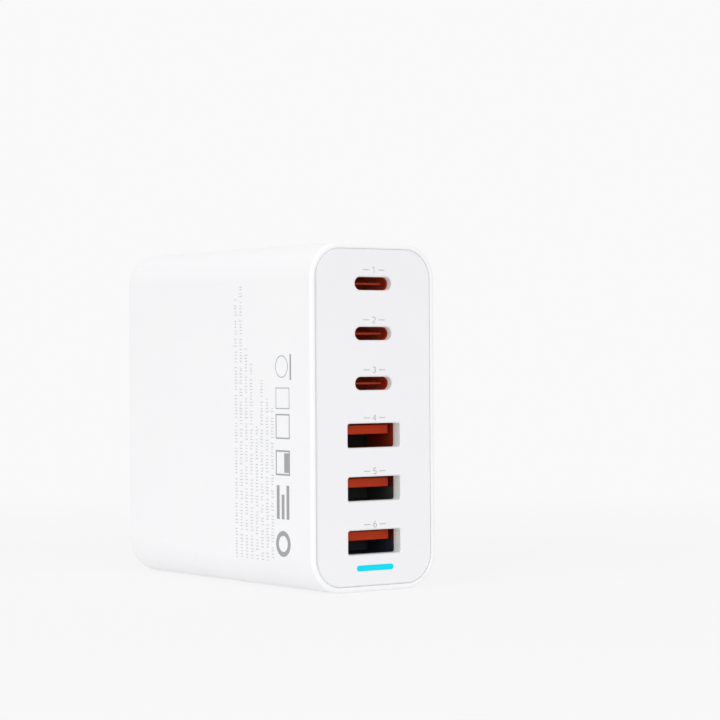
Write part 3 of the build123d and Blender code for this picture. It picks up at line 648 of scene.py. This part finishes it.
def on_left_wall(flat, faces):
    """Lays print drawn as depth from the front and height on the left wall, its film outwards.

    Below the corner's radius the wall curves in by the radius less the root of its square less the drop's.
    The three directions change hands on the way, so the faces are turned round to point outwards again.
    """
    drop = np.maximum(CORNER_RADIUS - flat[:, 1], 0)
    curve = CORNER_RADIUS - np.sqrt(CORNER_RADIUS**2 - drop**2)
    points = np.stack([wall_x + curve - flat[:, 2], front_y + flat[:, 0], flat[:, 1]], axis=1)
    return points, faces[:, ::-1]


def ink_boxes(low, high):
    """Printed rectangles from their low and high corners, each a box of eight points as thick as the film."""
    square = np.array([[0, 0], [1, 0], [1, 1], [0, 1]])
    corner = np.concatenate([np.insert(square, 2, level, axis=1) for level in (0, 1)])
    base = np.concatenate([low, np.zeros((len(low), 1))], axis=1)
    span = np.concatenate([high - low, np.full((len(low), 1), INK_FILM)], axis=1)
    points = base[:, None] + corner[None] * span[:, None]
    box = np.array([[0, 3, 2, 1], [4, 5, 6, 7], [0, 1, 5, 4], [1, 2, 6, 5], [2, 3, 7, 6], [3, 0, 4, 7]])
    faces = box[None] + len(corner) * np.arange(len(low))[:, None, None]
    return points.reshape(-1, 3), faces.reshape(-1, 4)


counts = ((ROW_TOPS - ROW_BOTTOM) / SIGN_PITCH).astype(int)
depths = np.repeat(ROW_FIRST - np.arange(len(ROW_TOPS)) * ROW_PITCH, counts)
heights = ROW_BOTTOM + SIGN_PITCH * np.concatenate([np.arange(count) for count in counts])
gaps = np.cumsum(chance.integers(*GAP_EVERY, len(heights)))
kept = ~np.isin(np.arange(len(heights)), gaps)
depths, heights = depths[kept], heights[kept] + chance.uniform(0, SIGN_STRAY, kept.sum())
halves = chance.uniform(*SIGN_HALF, len(depths))
tick_low = np.stack([depths - halves, heights], axis=1)
tick_high = np.stack([depths + halves, heights + SIGN_STROKE], axis=1)
barred = chance.random(len(depths)) < BAR_SHARE
bar_depth = (depths + halves * chance.integers(-1, 2, len(depths)) * BAR_REACH)[barred]
bar_low = np.stack([bar_depth - SIGN_STROKE / 2, heights[barred] + SIGN_STROKE], axis=1)
bar_high = np.stack([bar_depth + SIGN_STROKE / 2, heights[barred] + SIGN_BAR], axis=1)
signs = ink_boxes(np.concatenate([tick_low, bar_low]), np.concatenate([tick_high, bar_high]))
row_ink = moulded_plastic("pale_grey_pad_print_ink", *ROW_GREYS, **INK_SKIN)
add_print("side_print_rows", *on_left_wall(*signs), row_ink, "housing_plastic")

# Side blocks: plain rings, bars and frames in a darker grey ink, pad printed in the same pass as the rows.
# Each row below gives the stroke's width, then the block's place in depth and height, in millimetres.
BLOCK_GREYS = ("A4A5A8", "9C9DA0")
RING_BLOCKS = (
    (0.95, 9.9, 9.4, 2.05),
    (0.16, 10.2, 44.0, 2.1),
)
BAR_BLOCKS = (
    (0.95, 8.2, 14.2, 20.8),
    (0.95, 9.9, 14.2, 19.0),
    (0.95, 11.6, 14.2, 20.8),
    (1.6, 8.6, 23.3, 27.1),
    (0.5, 7.1, 41.4, 46.4),
)
FRAME_BLOCKS = (
    (0.32, 7.6, 12.2, 22.9, 27.5),
    (0.26, 7.6, 12.2, 30.0, 34.6),
    (0.16, 7.6, 12.2, 35.8, 39.8),
)
RING_POINTS = 49
BAR_POINTS = 9
block_strokes = []
for width, depth_in, rise, radius in RING_BLOCKS:
    path = arc((depth_in, rise), radius, 0, 360, RING_POINTS)
    block_strokes.append(ink_stroke(path * MM, width * MM))
for width, depth_in, low, high in BAR_BLOCKS:
    path = np.stack([np.full(BAR_POINTS, depth_in), np.linspace(low, high, BAR_POINTS)], axis=1)
    block_strokes.append(ink_stroke(path * MM, width * MM))
for width, near, far, low, high in FRAME_BLOCKS:
    path = run((near, low), (far, low), (far, high), (near, high), (near, low))
    block_strokes.append(ink_stroke(path * MM, width * MM))
block_ink = moulded_plastic("mid_grey_pad_print_ink", *BLOCK_GREYS, **INK_SKIN)
add_print("side_print_blocks", *on_left_wall(*join(block_strokes)), block_ink, "housing_plastic")

# Studio: a pale floor that fades into a white surround, three large soft lamps and a level long lens.
# The floor is a lit table, so it stays pale, lights the underside and still takes the charger's soft shadow.
# A lamp's row gives its name, its place and the side of its square in metres, and its power in watts.
SURROUND = "F9F9F9"
FLOOR_WHITE = "F6F6F6"
FLOOR_GLOW_SHARE = 0.46
CAMERA_GLOW_SHARE = 0.8
FLOOR_HALF = 0.6
FADE_START = 0.10
FADE_END = 0.34
AMBIENT_WHITE = "FFFFFF"
AMBIENT = 0.72
LAMPS = (
    ("left_softbox", (-0.9, -0.25, 0.5), 0.9, 2.5),
    ("front_softbox", (-0.1, -1.0, 0.4), 0.8, 2.0),
    ("top_softbox", (0.0, 0.1, 1.1), 0.9, 1.0),
)
LAMP_AIM = (0.0, 0.0, 0.034)
CAMERA_PLACE = (-0.27317, -0.41057, 0.04518)
CAMERA_YAW = 35.69
CAMERA_ROLL = -0.34
CAMERA_LENS = 118.9
CAMERA_SENSOR = 36.0
CAMERA_NEAR = 0.01


def seen_or_mirrored(tree):
    """One for a ray from the lens, a mirror or through clear plastic, and zero for light on the charger."""
    ray = add_node(tree, "ShaderNodeLightPath", {})
    seen = ray.outputs["Is Camera Ray"]
    for kind in ("Is Glossy Ray", "Is Transmission Ray"):
        larger = add_node(tree, "ShaderNodeMath", {"operation": "MAXIMUM"}, {0: seen, 1: ray.outputs[kind]})
        seen = larger.outputs["Value"]
    return seen


corners = np.array([[-1, -1, 0], [1, -1, 0], [1, 1, 0], [-1, 1, 0]]) * FLOOR_HALF
floor_mesh = bpy.data.meshes.new("floor")
floor_mesh.from_pydata(corners.tolist(), [], [(0, 1, 2, 3)])
floor = bpy.data.objects.new("floor", floor_mesh)
bpy.context.scene.collection.objects.link(floor)
table, tree, place = bare_finish("lit_white_table")
away = add_node(tree, "ShaderNodeVectorMath", {"operation": "LENGTH"}, {0: place})
fade = add_node(
    tree,
    "ShaderNodeMapRange",
    {"interpolation_type": "SMOOTHSTEP", "From Min": FADE_START, "From Max": FADE_END},
    {"Value": away.outputs["Value"]},
)
share = add_node(
    tree,
    "ShaderNodeMapRange",
    {"To Min": FLOOR_GLOW_SHARE, "To Max": CAMERA_GLOW_SHARE},
    {"Value": seen_or_mirrored(tree)},
)
sheet = add_node(tree, "ShaderNodeBsdfDiffuse", {"Color": linear(FLOOR_WHITE)})
glow = add_node(tree, "ShaderNodeEmission", {"Color": linear(SURROUND), "Strength": 1.0})
lit_sheet = add_node(
    tree,
    "ShaderNodeMixShader",
    {},
    {0: share.outputs["Result"], 1: sheet.outputs["BSDF"], 2: glow.outputs["Emission"]},
)
clear = add_node(tree, "ShaderNodeBsdfTransparent", {})
blend = add_node(
    tree,
    "ShaderNodeMixShader",
    {},
    {0: fade.outputs["Result"], 1: lit_sheet.outputs["Shader"], 2: clear.outputs["BSDF"]},
)
add_node(tree, "ShaderNodeOutputMaterial", {}, {"Surface": blend.outputs["Shader"]})
floor_mesh.materials.append(table)

world = bpy.data.worlds.new("white_surround")
bpy.context.scene.world = world
world.use_nodes = True
tree = world.node_tree
tree.nodes.clear()
ambient = add_node(tree, "ShaderNodeBackground", {"Color": linear(AMBIENT_WHITE), "Strength": AMBIENT})
backdrop = add_node(tree, "ShaderNodeBackground", {"Color": linear(SURROUND), "Strength": 1.0})
choice = add_node(
    tree,
    "ShaderNodeMixShader",
    {},
    {0: seen_or_mirrored(tree), 1: ambient.outputs["Background"], 2: backdrop.outputs["Background"]},
)
add_node(tree, "ShaderNodeOutputWorld", {}, {"Surface": choice.outputs["Shader"]})

for name, position, side, power in LAMPS:
    lamp = bpy.data.lights.new(name, "AREA")
    lamp.shape = "SQUARE"
    lamp.size = side
    lamp.energy = power
    holder = bpy.data.objects.new(name, lamp)
    holder.location = position
    holder.rotation_euler = (Vector(LAMP_AIM) - Vector(position)).to_track_quat("-Z", "Y").to_euler()
    bpy.context.scene.collection.objects.link(holder)

lens = bpy.data.cameras.new("long_lens")
lens.lens = CAMERA_LENS
lens.sensor_width = CAMERA_SENSOR
lens.sensor_fit = "AUTO"
lens.clip_start = CAMERA_NEAR
camera = bpy.data.objects.new("camera", lens)
level = Matrix.Rotation(math.radians(-CAMERA_YAW), 4, "Z") @ Matrix.Rotation(QUARTER_TURN, 4, "X")
rolled = level @ Matrix.Rotation(math.radians(CAMERA_ROLL), 4, "Z")
camera.matrix_world = Matrix.Translation(CAMERA_PLACE) @ rolled
bpy.context.scene.collection.objects.link(camera)
bpy.context.scene.camera = camera
bpy.context.scene.view_settings.view_transform = "Standard"
